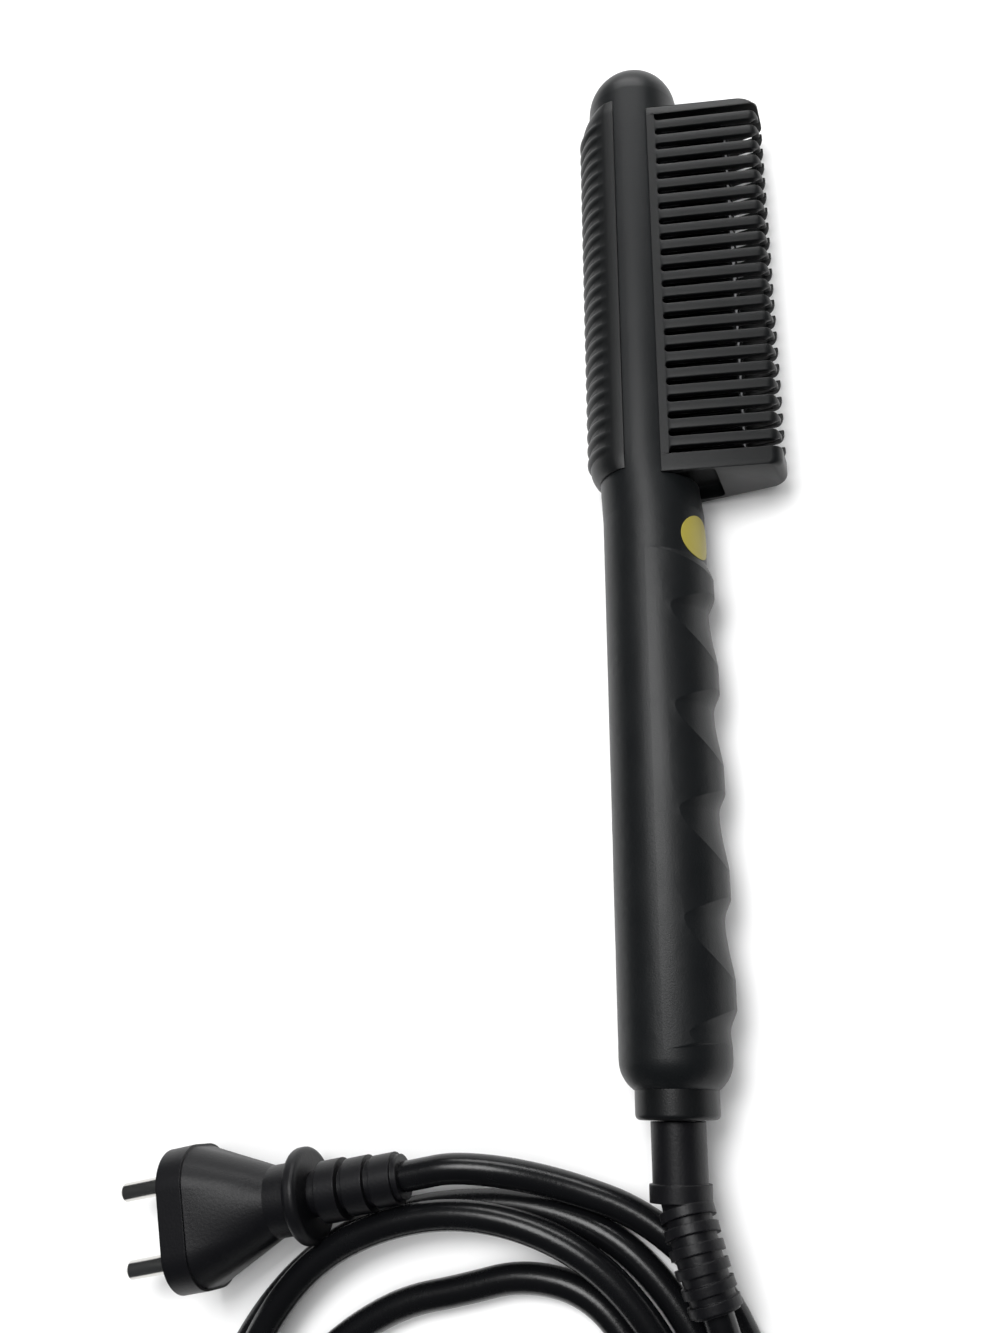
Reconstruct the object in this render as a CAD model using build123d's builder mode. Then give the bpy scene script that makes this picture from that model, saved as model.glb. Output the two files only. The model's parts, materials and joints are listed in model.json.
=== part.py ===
from build123d import *
import math
import os

# A corded hot comb, lying on its side. Millimetres, +Z up, +Y from the tail to the domed head, +X from
# the spine to the comb's teeth. The origin is on the table, under the middle of the tool.
# Places along the tool are given from the tail rim, and heights from the tool's own axis.

# ---- driving dimensions ----
# shell
head_radius = 13.0  # round bar of the head
dome_y = 281.7  # where the head's dome begins
head_y = 166.0  # where the round head begins
grip_y = 148.0  # where the oval grip ends
grip_half_width = 13.6  # half of the grip along X
grip_half_height = 13.0  # half of the grip along Z
grip_x = 1.45  # the grip's middle stands this far in front of the head's
tail_rounding = 8.5
shell_wall = 2.0
tail_wall = 5.0
# finger ridges on the front of the grip
ridge_reach = 15.15  # nose of a ridge from the grip's middle
ridge_pitch = 26.26
first_ridge_y = 21.8
ridge_count = 5
groove_radius = 13.35  # floor of the finger grooves, from the grip's middle
groove_offset = 7.4  # a groove lies this far from its ridge, towards the tail
ridge_fade = 10.5  # from the last ridge to where it has sunk into the grip
ridge_sunk_radius = 12.85
ridge_half_height = 13.0
# comb guard
seam_x = 6.5  # where the guard leaves the round head
root_half_height = 12.0
curl_half_height = 7.2  # half of the guard's height at the curl of its teeth
comb_reach = 37.4  # tips of the teeth from the head's axis
curl_radius = 3.2
guard_wall = 2.2
hollow_root_half_height = 8.2  # the guard's hollow, where it meets the head
mouth_half_height = 3.4
guard_top_y = 273.5
guard_corner = 3.5
tooth_pitch = 5.089
slot_count = 22
slot_width = 2.06
slot_root_x = 8.8
first_slot_y = 269.7
guard_low_y = 156.7  # flat end wall of the guard, towards the grip
lap = 2.0  # lap joint between guard and shells
lap_half_height = 10.1
# rear guard
rear_shift = 3.2  # how far its round back stands behind the head
rear_seat = 1.6  # depth of its seat in the shells
rear_edge_x = -3.1
rear_low_y = 159.0
rear_high_y = 278.0
rear_taper = 5.5
rib_axis_x = -0.77
rib_valley_radius = 14.5
rib_pitch = 4.2
rib_count = 26
rib_gap = 2.0
# heater
block_half_height = 7.6  # at its back
block_front_half_height = 5.2
block_back_x = 6.0
block_front_x = 28.0
block_corner = 2.5
fin_root_x = 14.0
fin_gap = 2.5
pocket_depth = 6.2
pocket_half_height = 2.6
mica_thickness = 0.3
electrode_thickness = 0.5
stone_count = 3
carrier_thickness = 2.6
# board and controls
board_thickness = 1.6
board_x = -2.0
board_half_height = 9.3
board_low_y = 44.0
board_high_y = 142.0
panel_low_y = 94.0
panel_high_y = 147.0
panel_half_height = 4.6
power_button_y = 136.0
power_button_radius = 3.4
heat_button_y = 120.0
heat_button_length = 12.0
heat_button_width = 5.6
level_window_y = 103.5
level_window_length = 13.0
level_window_width = 3.4
button_travel = 0.5
button_gap = 0.3
# tail, swivel and cord
collar_radius = 10.0
collar_length = 5.0
collar_seat = 2.0
neck_radius = 7.9
core_radius = 4.0
running_clearance = 0.05
axial_gap = 0.3
relief_radius = 6.5
cord_radius = 3.7
coil_outer_radius = 73.5
coil_inner_radius = 42.0
# plug
plug_flange_radius = 11.8
plug_width = 35.3
plug_height = 26.1
plug_length = 62.0
pin_radius = 2.4
pin_length = 17.0
pin_shank_radius = 2.0  # the pin's thinner part, inside the plug
pin_spacing = 19.0
plug_turn = 190.7  # heading of the plug in plan, degrees from +X
# fasteners and small fits
screw_radius = 1.45
screw_head_radius = 2.7
screw_head_height = 1.8
boss_radius = 4.0
fit_gap = 0.1
sticker_diameter = 12.0
sticker_thickness = 0.15

# ---- the tool's place on the table ----
back_reach = rear_shift + head_radius
axis_x = (back_reach - comb_reach) / 2
tail_y = -(dome_y + head_radius - collar_length) / 2
axis_z = max(head_radius, grip_half_height, root_half_height)
tool_axis = Axis((axis_x, tail_y, axis_z), (0, 1, 0))
floor = -axis_z  # the table, from the tool's axis
window_high_y = guard_top_y + fit_gap  # the shells are open in front between these two
window_low_y = guard_low_y - fit_gap


def across(y, x=0.0):
    """A plane across the tool. Its x is forward and its y is up; it faces the tail."""
    return Plane(origin=(axis_x + x, tail_y + y, axis_z), x_dir=(1, 0, 0), z_dir=(0, -1, 0))


def plan(z=0.0):
    """A level plane, z above the tool's axis. Its x is forward and its y is along the tool."""
    return Plane(origin=(axis_x, tail_y, axis_z + z), x_dir=(1, 0, 0), z_dir=(0, 0, 1))


def upright(x):
    """A plane that faces forward, at x. Its x is along the tool and its y is up."""
    return Plane(origin=(axis_x + x, tail_y, axis_z), x_dir=(0, 1, 0), z_dir=(1, 0, 0))


def place(x, y, z):
    """A point of the part from a point of the tool."""
    return (axis_x + x, tail_y + y, axis_z + z)


def save(piece, name):
    """Labels a finished piece and writes it to its own file."""
    piece.part.label = name
    export_step(piece.part, f"parts/{name}.step")


def tool_form(grip_inset, head_inset, low_y):
    """The grip, neck and domed head as one solid form, inset from the outside."""
    radius = head_radius - head_inset
    with BuildPart() as form:
        with BuildSketch(across(head_y)):
            Circle(radius)
        with BuildSketch(across(grip_y)):
            with Locations((grip_x, 0)):
                Ellipse(grip_half_width - grip_inset, grip_half_height - grip_inset)
        loft()
        with BuildSketch(across(grip_y)):
            with Locations((grip_x, 0)):
                Ellipse(grip_half_width - grip_inset, grip_half_height - grip_inset)
        extrude(amount=grip_y - low_y)
        tail_edges = form.faces().sort_by(Axis.Y)[0].edges()
        if grip_inset == 0:
            fillet(tail_edges, tail_rounding)
        with BuildSketch(plan()):
            with BuildLine():
                Line((0, head_y), (radius, head_y))
                Line((radius, head_y), (radius, dome_y))
                CenterArc((0, dome_y), radius, 0, 90)
                Line((0, dome_y + radius), (0, head_y))
            make_face()
        revolve(axis=tool_axis)
    return form.part


os.makedirs("parts", exist_ok=True)

# ---- finger ridges: a fuller front, with grooves that fall off steeply below each ridge ----
ridge_low_y = first_ridge_y - groove_offset
last_ridge_y = first_ridge_y + (ridge_count - 1) * ridge_pitch
ridge_high_y = last_ridge_y + ridge_fade
groove_low_y = ridge_low_y - groove_offset / 2
outside_grip = ridge_reach + 2
past_nose = ridge_reach + 0.3  # clear of the noses, where a cut would only graze them
rise_low_y = groove_low_y - 1.2  # the ridges rise out of the grip from here
rise_high_y = ridge_low_y + 2.1
wave = [(grip_half_width, groove_low_y)]
for i in range(ridge_count):
    wave.append((groove_radius, ridge_low_y + i * ridge_pitch))
    wave.append((past_nose, first_ridge_y + i * ridge_pitch))
grip_axis = Axis((axis_x + grip_x, tail_y, axis_z), (0, 1, 0))
grip_plan = Plane(origin=place(grip_x, 0, 0), x_dir=(1, 0, 0), z_dir=(0, 0, 1))

with BuildPart() as finger_ridges:
    with BuildSketch(across(ridge_high_y, grip_x)):
        Ellipse(ridge_reach, ridge_half_height)
        with Locations((-ridge_reach / 2, 0)):
            Rectangle(ridge_reach, 2 * comb_reach, mode=Mode.SUBTRACT)
    extrude(amount=ridge_high_y - rise_low_y)
    with BuildSketch(grip_plan):
        with BuildLine():
            Spline(
                (ridge_sunk_radius, rise_low_y),
                (past_nose, rise_high_y),
                tangents=[(0, 1), (0, 1)],
            )
            Line((past_nose, rise_high_y), (past_nose, last_ridge_y))
            Spline(
                (past_nose, last_ridge_y),
                (ridge_sunk_radius, ridge_high_y),
                tangents=[(0, 1), (0, 1)],
            )
            Polyline((ridge_sunk_radius, ridge_high_y), (0, ridge_high_y), (0, rise_low_y))
            Line((0, rise_low_y), (ridge_sunk_radius, rise_low_y))
        make_face()
    revolve(axis=grip_axis, mode=Mode.INTERSECT)

with BuildPart() as finger_grooves:
    with BuildSketch(grip_plan):
        with BuildLine():
            Spline(*wave, tangents=[(0, 1)] * len(wave))
            Polyline(wave[-1], (outside_grip, last_ridge_y), (outside_grip, groove_low_y), wave[0])
        make_face()
    revolve(axis=grip_axis)
    split(bisect_by=upright(grip_x), keep=Keep.TOP)

with BuildPart() as outer_form:
    add(tool_form(0, 0, 0))
    add(finger_ridges.part)
    add(finger_grooves.part, mode=Mode.SUBTRACT)

# ---- both shells as one hollow body, before it is parted ----
seat_radius = head_radius - rear_seat
guard_peg_radius = 1.5
guard_pegs = [(y, z) for y in (rear_low_y + 20, rear_high_y - 24) for z in (-5.0, 5.0)]
panel_length = panel_high_y - panel_low_y
panel_y = (panel_high_y + panel_low_y) / 2

with BuildPart() as hollow_body:
    add(outer_form.part)
    add(tool_form(shell_wall, rear_seat + shell_wall, tail_wall), mode=Mode.SUBTRACT)
    # window for the comb guard, with a step for the lap joint
    window = window_high_y - window_low_y
    with BuildSketch(across(window_high_y)):
        with Locations((seam_x, 0)):
            Rectangle(comb_reach, 3 * head_radius, align=(Align.MIN, Align.CENTER))
        with Locations((seam_x - lap, 0)):
            Rectangle(2 * lap, 2 * lap_half_height, align=(Align.MIN, Align.CENTER))
    extrude(amount=window, mode=Mode.SUBTRACT)
    # seat of the rear guard, and the holes for its pegs
    with BuildSketch(across(rear_high_y)):
        Circle(2 * head_radius)
        Circle(seat_radius, mode=Mode.SUBTRACT)
        with Locations((rear_edge_x, 0)):
            Rectangle(
                4 * head_radius, 4 * head_radius, align=(Align.MIN, Align.CENTER), mode=Mode.SUBTRACT
            )
    extrude(amount=rear_high_y - rear_low_y, mode=Mode.SUBTRACT)
    with BuildSketch(upright(rear_edge_x)):
        with Locations(*guard_pegs):
            Circle(guard_peg_radius + fit_gap)
    extrude(amount=-head_radius, mode=Mode.SUBTRACT)
    # opening for the control panel in the spine
    with BuildSketch(upright(0)):
        with Locations((panel_y, 0)):
            SlotOverall(panel_length + 2 * fit_gap, 2 * (panel_half_height + fit_gap))
    extrude(amount=-2 * grip_half_width, mode=Mode.SUBTRACT)
    # bore and seat of the end collar
    with BuildSketch(across(tail_wall + fit_gap, grip_x)):
        Circle(neck_radius + fit_gap)
    extrude(amount=tail_wall + fit_gap, mode=Mode.SUBTRACT)
    with BuildSketch(across(collar_seat, grip_x)):
        Circle(collar_radius + fit_gap)
    extrude(amount=collar_seat, mode=Mode.SUBTRACT)

# ---- the shells, parted at the axis, with screw bosses and board rails ----
screw_places = [(grip_x, 32.0), (0.0, 151.5), (0.0, 278.0)]
screw_head_seat = 4.5  # from the outside of the lower shell to the screw head's seat
screw_hole_gap = 0.2
rail_low_y = 66.0
rail_high_y = 90.0
rail_width = 1.3
rail_root_height = board_half_height - 0.6

with BuildPart() as shell_inside:
    with BuildSketch(plan(-head_radius)):
        with Locations(*screw_places):
            Circle(boss_radius)
    extrude(amount=2 * head_radius)
    with BuildSketch(across(rail_high_y)):
        for rail_x in (board_x - fit_gap - rail_width, board_x + board_thickness + fit_gap):
            for side in (-1, 1):
                with Locations((rail_x + rail_width / 2, side * (rail_root_height + 1.5))):
                    Rectangle(rail_width, 3.0)
    extrude(amount=rail_high_y - rail_low_y)
    add(tool_form(shell_wall / 2, rear_seat, tail_wall), mode=Mode.INTERSECT)

with BuildPart() as upper_shell:
    add(hollow_body.part)
    add(shell_inside.part)
    split(bisect_by=plan(), keep=Keep.TOP)
    with BuildSketch(plan()):
        with Locations(*screw_places):
            Circle(screw_radius + running_clearance)
    extrude(amount=head_radius - shell_wall - 1, mode=Mode.SUBTRACT)
save(upper_shell, "upper_shell")

with BuildPart() as lower_shell:
    add(hollow_body.part)
    add(shell_inside.part)
    split(bisect_by=plan(), keep=Keep.BOTTOM)
    with BuildSketch(plan(floor)):
        with Locations(*screw_places):
            Circle(screw_radius + screw_hole_gap)
    extrude(amount=axis_z, mode=Mode.SUBTRACT)
    with BuildSketch(plan(floor)):
        with Locations(*screw_places):
            Circle(screw_head_radius + screw_hole_gap)
    extrude(amount=screw_head_seat, mode=Mode.SUBTRACT)
save(lower_shell, "lower_shell")

screw_length = axis_z - screw_head_seat + 6.0
with BuildPart() as shell_screws:
    with BuildSketch(plan(floor + screw_head_seat)):
        with Locations(*screw_places):
            Circle(screw_head_radius)
    extrude(amount=-screw_head_height)
    with BuildSketch(plan(floor + screw_head_seat)):
        with Locations(*screw_places):
            Circle(screw_radius)
    extrude(amount=screw_length)
    with BuildSketch(plan(floor + screw_head_seat - screw_head_height)):
        with Locations(*screw_places):
            Rectangle(3.2, 0.7)
            Rectangle(0.7, 3.2)
    extrude(amount=1.0, mode=Mode.SUBTRACT)
save(shell_screws, "shell_screws")

# ---- comb guard: a channel that narrows to curled edges, closed at both ends, slotted into teeth ----
curl_x = comb_reach - curl_radius
curl_z = curl_half_height - curl_radius
root_distance = math.hypot(curl_x - seam_x, root_half_height - curl_z)
flare = math.asin(curl_radius / root_distance) - math.atan2(root_half_height - curl_z, curl_x - seam_x)
wall_run = math.sqrt(root_distance**2 - curl_radius**2)
tangent_x = seam_x + wall_run * math.cos(flare)
tangent_z = root_half_height + wall_run * math.sin(flare)
inner_curl = curl_radius - guard_wall
flare_degrees = math.degrees(flare)
last_slot_y = first_slot_y - (slot_count - 1) * tooth_pitch
slots = [first_slot_y - i * tooth_pitch for i in range(slot_count)]
bars = [y - tooth_pitch / 2 for y in slots[:-1]]
bar_width = tooth_pitch - slot_width
tip_x = comb_reach - bar_width / 2
lap_x = seam_x - lap
hollow_high_y = guard_top_y - guard_wall
hollow_low_y = guard_low_y + guard_wall

with BuildPart() as guard_outside:
    with BuildSketch(across(guard_top_y)):
        with BuildLine():
            Line((seam_x, 0), (seam_x, root_half_height))
            Line((seam_x, root_half_height), (tangent_x, tangent_z))
            CenterArc((curl_x, curl_z), curl_radius, 90 + flare_degrees, -90 - flare_degrees)
            Line((comb_reach, curl_z), (comb_reach, 0))
            Line((comb_reach, 0), (seam_x, 0))
        make_face()
        mirror(about=Plane.XZ)
    extrude(amount=guard_top_y - guard_low_y)

with BuildPart() as guard_hollow:
    with BuildSketch(across(hollow_high_y)):
        inner_tangent_x = curl_x - inner_curl * math.sin(flare)
        inner_tangent_z = curl_z + inner_curl * math.cos(flare)
        with BuildLine():
            Line((lap_x, 0), (lap_x, hollow_root_half_height))
            Line((lap_x, hollow_root_half_height), (inner_tangent_x, inner_tangent_z))
            CenterArc((curl_x, curl_z), inner_curl, 90 + flare_degrees, -90 - flare_degrees)
            Line((curl_x + inner_curl, curl_z), (curl_x + inner_curl, mouth_half_height))
            Line((curl_x + inner_curl, mouth_half_height), (comb_reach + lap, mouth_half_height))
            Line((comb_reach + lap, mouth_half_height), (comb_reach + lap, 0))
            Line((comb_reach + lap, 0), (lap_x, 0))
        make_face()
        mirror(about=Plane.XZ)
    extrude(amount=hollow_high_y - hollow_low_y)

rail_height = 1.6
rail_z = lap_half_height - 2 * fit_gap - rail_height / 2
with BuildPart() as comb_guard:
    add(guard_outside.part)
    with BuildSketch(across(guard_top_y)):
        for side in (-1, 1):
            with Locations((lap_x + 2 * fit_gap, side * rail_z)):
                Rectangle(2 * lap, rail_height, align=(Align.MIN, Align.CENTER))
    extrude(amount=window - 2 * fit_gap)
    add(guard_hollow.part, mode=Mode.SUBTRACT)
    with BuildSketch(plan(-head_radius)):
        with BuildLine():
            Polyline(
                (lap_x, guard_top_y),
                (comb_reach, guard_top_y),
                (comb_reach, first_slot_y - slot_width / 4),
                (tip_x, first_slot_y - slot_width / 4),
                (tip_x, last_slot_y + slot_width / 4),
                (comb_reach, last_slot_y + slot_width / 4),
                (comb_reach, guard_low_y),
                (lap_x, guard_low_y),
                close=True,
            )
        make_face()
        tips = vertices().group_by(Axis.X)[-1].sort_by(Axis.Y)
        fillet([tips[0], tips[-1]], guard_corner)
        with Locations(*[(tip_x, y) for y in bars]):
            Circle(bar_width / 2)
    extrude(amount=2 * head_radius, mode=Mode.INTERSECT)
    with BuildSketch(plan(-head_radius)):
        with Locations(*[(slot_root_x + slot_width / 2, y) for y in slots]):
            Circle(slot_width / 2)
            Rectangle(comb_reach, slot_width, align=(Align.MIN, Align.CENTER))
    extrude(amount=2 * head_radius, mode=Mode.SUBTRACT)
save(comb_guard, "comb_guard")

# ---- rear guard: a round back with ring-shaped valleys, tapered at both ends ----
rib_axis = Axis((axis_x + rib_axis_x, tail_y, axis_z), (0, 1, 0))
rib_middle_y = (rear_low_y + rear_high_y) / 2
rear_length = rear_high_y - rear_low_y
taper_radius = head_radius + rib_axis_x

with BuildPart() as rib_rings:
    with BuildSketch(Plane(origin=place(rib_axis_x, 0, 0), x_dir=(1, 0, 0), z_dir=(0, 0, 1))):
        with Locations(*[(rib_valley_radius, rib_middle_y + (i + 0.5 - rib_count / 2) * rib_pitch)
                         for i in range(rib_count)]):
            Rectangle(2 * rear_shift, rib_gap, align=(Align.MIN, Align.CENTER))
    revolve(axis=rib_axis)

with BuildPart() as rear_guard:
    with BuildSketch(across(rear_high_y)):
        with Locations((-rear_shift, 0)):
            Circle(head_radius)
        Circle(seat_radius + fit_gap, mode=Mode.SUBTRACT)
        with Locations((rear_edge_x - fit_gap, 0)):
            Rectangle(
                4 * head_radius, 4 * head_radius, align=(Align.MIN, Align.CENTER), mode=Mode.SUBTRACT
            )
    extrude(amount=rear_length)
    with BuildSketch(Plane(origin=place(rib_axis_x, 0, 0), x_dir=(1, 0, 0), z_dir=(0, 0, 1))):
        with BuildLine():
            Polyline(
                (0, rear_low_y),
                (taper_radius, rear_low_y),
                (taper_radius + rear_shift, rear_low_y + rear_taper),
                (taper_radius + rear_shift, rear_high_y - rear_taper),
                (taper_radius, rear_high_y),
                (0, rear_high_y),
                close=True,
            )
        make_face()
    revolve(axis=rib_axis, mode=Mode.INTERSECT)
    add(rib_rings.part, mode=Mode.SUBTRACT)
    with BuildSketch(upright(-seat_radius * 0.85)):
        with Locations(*guard_pegs):
            Circle(guard_peg_radius)
    extrude(amount=2.2)
    with BuildSketch(upright(-seat_radius * 0.85)):
        with Locations(*guard_pegs):
            Circle(guard_peg_radius)
    extrude(amount=-2.2)
save(rear_guard, "rear_guard")

# ---- heated bar: solid at the back, fins behind the teeth, a pocket for the heater ----
block_high_y = first_slot_y - fit_gap
block_low_y = last_slot_y + fit_gap
block_length = block_high_y - block_low_y
pocket_low_y = block_low_y + 9.0
pocket_high_y = block_high_y - 9.0
pocket_length = pocket_high_y - pocket_low_y
block_screw_places = [(block_low_y + 3.8, 0.0), (block_high_y - 3.8, 0.0)]
block_screw_depth = 6.0

with BuildPart() as heating_block:
    with BuildSketch(across(block_high_y)):
        with BuildLine():
            Polyline(
                (block_back_x, -block_half_height),
                (block_front_x, -block_front_half_height),
                (block_front_x, block_front_half_height),
                (block_back_x, block_half_height),
                close=True,
            )
        make_face()
        fillet(vertices().group_by(Axis.X)[-1], block_corner)
    extrude(amount=block_length)
    with BuildSketch(plan(-block_half_height)):
        with Locations(*[(fin_root_x, y) for y in slots]):
            Rectangle(block_front_x, fin_gap, align=(Align.MIN, Align.CENTER))
    extrude(amount=2 * block_half_height, mode=Mode.SUBTRACT)
    with BuildSketch(across(pocket_high_y, block_back_x)):
        Rectangle(pocket_depth, 2 * pocket_half_height, align=(Align.MIN, Align.CENTER))
    extrude(amount=pocket_length, mode=Mode.SUBTRACT)
    with BuildSketch(upright(block_back_x)):
        with Locations(*block_screw_places):
            Circle(screw_radius + running_clearance)
    extrude(amount=block_screw_depth, mode=Mode.SUBTRACT)
save(heating_block, "heating_block")

# ---- heater stack in the pocket: mica, contact strip, stones, contact strip, mica ----
stack_length = pocket_length - 2 * fit_gap
stack_y = pocket_high_y - fit_gap
strip_z = pocket_half_height - mica_thickness - electrode_thickness / 2
stone_half_height = pocket_half_height - mica_thickness - electrode_thickness
stone_gap = 3.0
stone_length = (stack_length - (stone_count + 1) * stone_gap) / stone_count
stack_back_x = block_back_x + 1.2
stack_depth = pocket_depth - 1.2
tab_low_y = pocket_low_y + 22.0
tab_length = 4.0

with BuildPart() as mica_sheets:
    with BuildSketch(across(stack_y, block_back_x)):
        for side in (-1, 1):
            with Locations((0, side * (pocket_half_height - mica_thickness / 2))):
                Rectangle(pocket_depth, mica_thickness, align=(Align.MIN, Align.CENTER))
    extrude(amount=stack_length)
save(mica_sheets, "mica_sheets")

with BuildPart() as electrode_plates:
    with BuildSketch(across(stack_y, stack_back_x)):
        for side in (-1, 1):
            with Locations((0, side * strip_z)):
                Rectangle(stack_depth, electrode_thickness, align=(Align.MIN, Align.CENTER))
    extrude(amount=stack_length)
    with BuildSketch(across(tab_low_y + tab_length, block_back_x - 2.0)):
        for side in (-1, 1):
            with Locations((0, side * strip_z)):
                Rectangle(4.0, electrode_thickness, align=(Align.MIN, Align.CENTER))
    extrude(amount=tab_length)
save(electrode_plates, "electrode_plates")

with BuildPart() as ptc_elements:
    with BuildSketch(plan(-stone_half_height)):
        for i in range(stone_count):
            stone_y = stack_y - stone_gap - i * (stone_length + stone_gap)
            with Locations((stack_back_x, stone_y)):
                Rectangle(stack_depth, stone_length, align=(Align.MIN, Align.MAX))
    extrude(amount=2 * stone_half_height)
save(ptc_elements, "ptc_elements")

with BuildPart() as heater_clamp:
    with BuildSketch(across(stack_y, block_back_x + 0.4)):
        Rectangle(0.8, 2 * stone_half_height - 0.4, align=(Align.MIN, Align.CENTER))
    extrude(amount=stack_length)
save(heater_clamp, "heater_clamp")

# ---- heater carrier: a window frame behind the bar, with two webs to the spine ----
carrier_back_x = block_back_x - carrier_thickness
carrier_half_height = 7.9
carrier_opening = 6.4
carrier_low_y = window_low_y + 3.0
carrier_high_y = guard_top_y - 1.0
web_width = 2.0
web_half_height = 4.0
web_back_x = -(seat_radius - shell_wall) + 1.0

with BuildPart() as heater_carrier:
    with BuildSketch(across(carrier_high_y, carrier_back_x)):
        Rectangle(carrier_thickness, 2 * carrier_half_height, align=(Align.MIN, Align.CENTER))
    extrude(amount=carrier_high_y - carrier_low_y)
    with BuildSketch(across(pocket_high_y, carrier_back_x)):
        Rectangle(carrier_thickness, 2 * carrier_opening, align=(Align.MIN, Align.CENTER))
    extrude(amount=pocket_length, mode=Mode.SUBTRACT)
    with BuildSketch(across(pocket_low_y, web_back_x)):
        Rectangle(
            carrier_back_x - web_back_x, 2 * web_half_height, align=(Align.MIN, Align.CENTER)
        )
    extrude(amount=web_width)
    with BuildSketch(across(pocket_high_y + web_width, web_back_x)):
        Rectangle(
            carrier_back_x - web_back_x, 2 * web_half_height, align=(Align.MIN, Align.CENTER)
        )
    extrude(amount=web_width)
    with BuildSketch(upright(carrier_back_x)):
        with Locations(*block_screw_places):
            Circle(screw_radius + screw_hole_gap)
    extrude(amount=carrier_thickness, mode=Mode.SUBTRACT)
save(heater_carrier, "heater_carrier")

with BuildPart() as block_screws:
    with BuildSketch(upright(carrier_back_x)):
        with Locations(*block_screw_places):
            Circle(screw_head_radius)
    extrude(amount=-screw_head_height)
    with BuildSketch(upright(carrier_back_x)):
        with Locations(*block_screw_places):
            Circle(screw_radius)
    extrude(amount=carrier_thickness + block_screw_depth - 0.5)
save(block_screws, "block_screws")

# ---- sensor and fuse on the back of the bar ----
fuse_radius = 1.6
sensor_radius = 1.0
fuse_y = pocket_low_y + 42.0
sensor_y = pocket_low_y + 34.0
fuse_length = 12.0
sensor_length = 6.0
fuse_z = (pocket_half_height + carrier_opening) / 2 + 0.1
sensor_x = block_back_x - sensor_radius

with BuildPart() as thermal_fuse:
    with BuildSketch(across(fuse_y + fuse_length, block_back_x - fuse_radius)):
        with Locations((0, fuse_z)):
            Circle(fuse_radius)
    extrude(amount=fuse_length)
    fillet(thermal_fuse.edges(), fuse_radius / 3)
save(thermal_fuse, "thermal_fuse")

with BuildPart() as temperature_sensor:
    with BuildSketch(across(sensor_y + sensor_length, sensor_x)):
        with Locations((0, -fuse_z)):
            Circle(sensor_radius)
    extrude(amount=sensor_length)
    fillet(temperature_sensor.edges().sort_by(Axis.Y)[-1], sensor_radius / 2)
save(temperature_sensor, "temperature_sensor")

# ---- circuit board across the grip, with its parts ----
board_front_x = board_x + board_thickness
board_middle_y = (board_low_y + board_high_y) / 2

with BuildPart() as control_board:
    with BuildSketch(upright(board_x)):
        with Locations((board_middle_y, 0)):
            RectangleRounded(board_high_y - board_low_y, 2 * board_half_height, 1.5)
    extrude(amount=board_thickness)
save(control_board, "control_board")


def board_block(name, low_y, length, height, half_height, rounding, behind=False):
    """A moulded part that stands on the board, forward of it or behind it."""
    with BuildPart() as block:
        with BuildSketch(upright(board_x if behind else board_front_x)):
            with Locations((low_y + length / 2, 0)):
                RectangleRounded(length, 2 * half_height, rounding)
        extrude(amount=-height if behind else height)
    save(block, name)


terminal_height = 6.0
heater_terminal_y = board_high_y - 15.0
supply_terminal_y = board_low_y + 2.0
terminal_length = 11.5
board_block("heater_terminal", heater_terminal_y, terminal_length, terminal_height, 7.0, 0.5)
board_block("supply_terminal", supply_terminal_y, terminal_length, terminal_height, 7.0, 0.5)
board_block("board_relay", 98.0, 20.0, 8.0, 6.0, 0.8)
board_block("board_triac", 84.0, 9.0, 4.4, 5.0, 0.4)
board_block("board_chip", 70.0, 8.0, 1.4, 4.0, 0.2, behind=True)

capacitor_radius = 4.2
capacitor_y = 62.0
capacitor_length = 16.0
with BuildPart() as board_capacitor:
    with BuildSketch(across(capacitor_y + capacitor_length, board_front_x + capacitor_radius)):
        Circle(capacitor_radius)
    extrude(amount=capacitor_length)
    fillet(board_capacitor.edges(), 0.6)
save(board_capacitor, "board_capacitor")

# ---- control panel in the spine, its buttons, window, lights and switches ----
panel_back_x = grip_x - grip_half_width + shell_wall + 1.75
panel_flange = 0.9
panel_flange_thickness = 1.0
panel_inner_x = panel_back_x + panel_flange_thickness
button_flange = 0.8
button_flange_thickness = 0.7
button_flange_x = panel_inner_x + fit_gap
stem_radius = 1.5
switch_height = 2.8
plunger_height = 0.5
stem_tip_x = board_x - switch_height - plunger_height - button_travel - fit_gap

with BuildPart() as control_panel:
    with BuildSketch(upright(panel_back_x)):
        with Locations((panel_y, 0)):
            SlotOverall(panel_length, 2 * panel_half_height)
    extrude(amount=-grip_half_width)
    add(outer_form.part, mode=Mode.INTERSECT)
    with BuildSketch(upright(panel_back_x)):
        with Locations((panel_y, 0)):
            SlotOverall(panel_length + 2 * panel_flange, 2 * (panel_half_height + panel_flange))
    extrude(amount=panel_flange_thickness)
    with BuildSketch(upright(panel_inner_x)):
        with Locations((power_button_y, 0)):
            Circle(power_button_radius + button_gap)
        with Locations((heat_button_y, 0)):
            SlotOverall(heat_button_length + 2 * button_gap, heat_button_width + 2 * button_gap)
        with Locations((level_window_y, 0)):
            SlotOverall(level_window_length + 2 * fit_gap, level_window_width + 2 * fit_gap)
    extrude(amount=-2 * grip_half_width, mode=Mode.SUBTRACT)
save(control_panel, "control_panel")

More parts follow.
